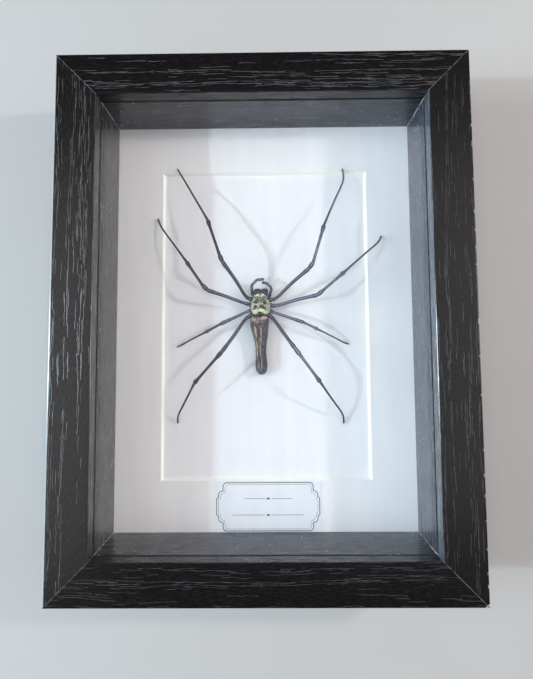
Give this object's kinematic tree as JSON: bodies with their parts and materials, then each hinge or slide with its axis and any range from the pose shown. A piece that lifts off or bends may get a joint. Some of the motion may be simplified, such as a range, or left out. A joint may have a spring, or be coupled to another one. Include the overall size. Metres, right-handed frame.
{
  "type": "framed dried spider",
  "caption": "Large dried orb weaver spider with spread legs, behind glass in a deep black box frame with a white mat, a small label card and a hanger on the back.",
  "frame": {"origin": "centre of the rectangle that the back rim covers, on the surface that the frame lies on", "axes": "+Z out of the glass, +Y towards the top of the picture (the spider's head), +X to the viewer's right"},
  "size_m": [0.18, 0.233, 0.045],
  "materials": {
    "black_woodgrain_foil": "satin",
    "clear_glass": "gloss",
    "black_spacer": "satin",
    "white_mat_board": "matte",
    "label_paper": "matte",
    "white_card": "matte",
    "brown_hardboard": "matte",
    "bright_steel": "satin",
    "yellow_green_carapace": "matte",
    "brown_abdomen": "matte",
    "black_limbs": "satin"
  },
  "bodies": {
    "root": {"frame_rail_top": "black_woodgrain_foil", "frame_rail_bottom": "black_woodgrain_foil", "frame_rail_left": "black_woodgrain_foil", "frame_rail_right": "black_woodgrain_foil", "glass_pane": "clear_glass", "spacer_top": "black_spacer", "spacer_bottom": "black_spacer", "spacer_left": "black_spacer", "spacer_right": "black_spacer", "window_mat": "white_mat_board", "label_card": "label_paper", "backing_card": "white_card", "back_board": "brown_hardboard", "holding_tab_top_1": "bright_steel", "holding_tab_top_2": "bright_steel", "holding_tab_bottom_1": "bright_steel", "holding_tab_bottom_2": "bright_steel", "holding_tab_left_1": "bright_steel", "holding_tab_left_2": "bright_steel", "holding_tab_right_1": "bright_steel", "holding_tab_right_2": "bright_steel", "sawtooth_hanger": "bright_steel", "hanger_rivet_left": "bright_steel", "hanger_rivet_right": "bright_steel", "cephalothorax": "yellow_green_carapace", "abdomen": "brown_abdomen", "chelicera_left": "black_limbs", "chelicera_right": "black_limbs", "pedipalp_left": "black_limbs", "pedipalp_right": "black_limbs", "leg_left_1": "black_limbs", "leg_left_2": "black_limbs", "leg_left_3": "black_limbs", "leg_left_4": "black_limbs", "leg_right_1": "black_limbs", "leg_right_2": "black_limbs", "leg_right_3": "black_limbs", "leg_right_4": "black_limbs"}
  },
  "joints": []
}
